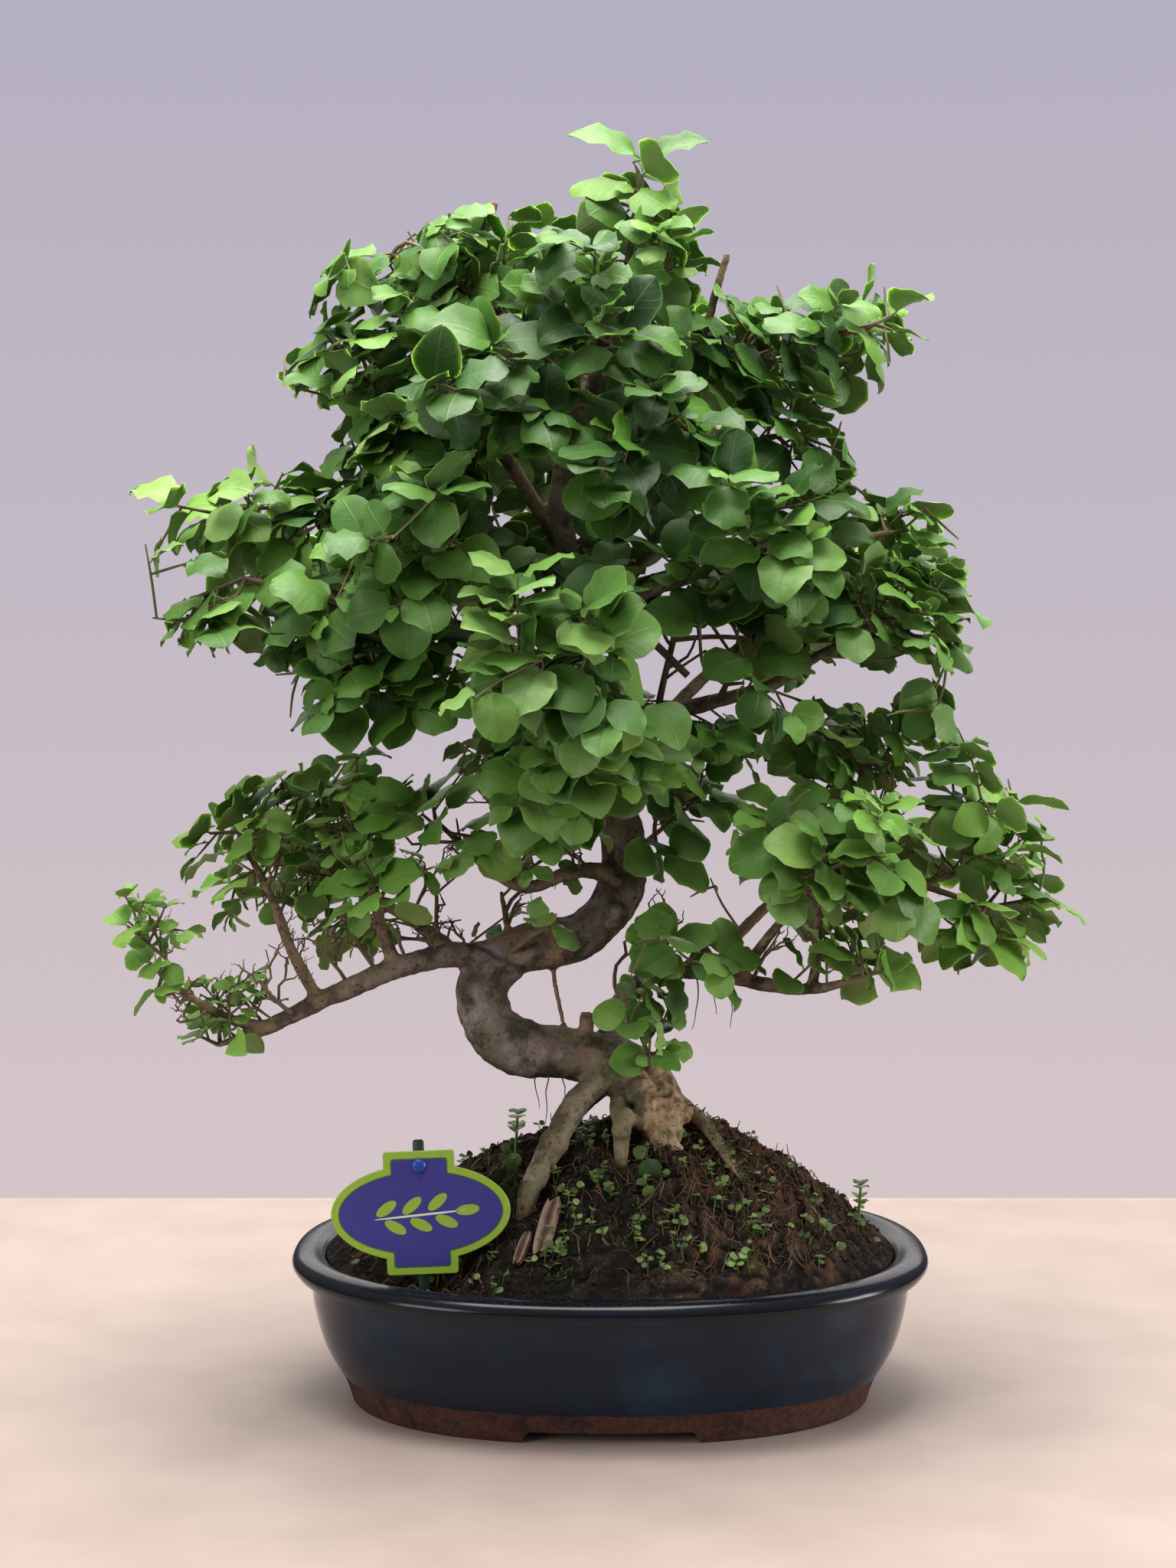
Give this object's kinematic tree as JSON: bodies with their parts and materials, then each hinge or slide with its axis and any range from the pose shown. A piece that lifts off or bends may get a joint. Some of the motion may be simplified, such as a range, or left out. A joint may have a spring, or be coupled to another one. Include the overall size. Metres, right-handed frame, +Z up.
{
  "type": "chinese privet bonsai in an oval pot",
  "caption": "Small S-curved privet tree with leafy tiers and exposed roots on a soil mound in a low oval glazed pot, with a plain two-colour plant label",
  "frame": {"origin": "middle of the pot's foot ring, on the surface that it stands on", "axes": "+Z up along the tree, +X to the right along the pot's long side as seen from the front, -Y towards the viewer at the front, where the label stands"},
  "size_m": [0.4717, 0.2872, 0.6056],
  "materials": {
    "glazed_clay": "glossy dark teal glaze over stoneware, bare brick-red clay at the foot",
    "soil": "crumbly moist potting soil, almost black, with moss",
    "bark": "smooth grey-brown bark with dark and green patches",
    "bark_chip": "weathered red-brown dead bark",
    "leaf": "satin green leaf on a thin brown twig",
    "seedling": "soft bright green",
    "screen": "black plastic mesh",
    "label_face": "smooth printed plastic sheet, green and blue",
    "label_stake": "moulded dark green plastic",
    "label_peg": "moulded blue plastic"
  },
  "bodies": {
    "root": {"bark_chip_large": "bark_chip", "bark_chip_small": "bark_chip", "drain_screen_left": "screen", "drain_screen_right": "screen", "label_peg": "label_peg", "label_plate": "label_face", "label_stake": "label_stake", "pot": "glazed_clay", "seedling_left": "seedling", "seedling_right": "seedling", "soil": "soil", "spray_apex": "leaf", "spray_centre_left": "leaf", "spray_centre_low": "leaf", "spray_centre_right": "leaf", "spray_crown_back_left": "leaf", "spray_crown_back_right": "leaf", "spray_crown_far_right": "leaf", "spray_crown_front": "leaf", "spray_crown_front_left": "leaf", "spray_crown_high_front": "leaf", "spray_crown_high_left": "leaf", "spray_crown_high_right": "leaf", "spray_crown_left": "leaf", "spray_crown_low_back_left": "leaf", "spray_crown_low_back_right": "leaf", "spray_crown_low_front": "leaf", "spray_crown_low_left": "leaf", "spray_crown_low_right": "leaf", "spray_crown_mid_right": "leaf", "spray_left_back": "leaf", "spray_left_front": "leaf", "spray_left_high": "leaf", "spray_left_low": "leaf", "spray_left_mid_high": "leaf", "spray_left_tip": "leaf", "spray_mid_back": "leaf", "spray_mid_left": "leaf", "spray_right_back": "leaf", "spray_right_front": "leaf", "spray_right_high": "leaf", "spray_right_inner": "leaf", "spray_right_low": "leaf", "spray_right_tip": "leaf", "spray_right_upper": "leaf", "spray_trunk_bend": "leaf", "spray_trunk_foot": "leaf", "spray_trunk_right": "leaf", "spray_upper_left_back": "leaf", "spray_upper_left_front": "leaf", "spray_upper_left_high": "leaf", "spray_upper_left_mid": "leaf", "spray_upper_left_tip": "leaf", "spray_upper_left_under": "leaf", "spray_upper_right_back": "leaf", "spray_upper_right_front": "leaf", "spray_upper_right_inner": "leaf", "spray_upper_right_tip": "leaf", "spray_upper_right_top": "leaf", "wood": "bark"}
  },
  "joints": []
}
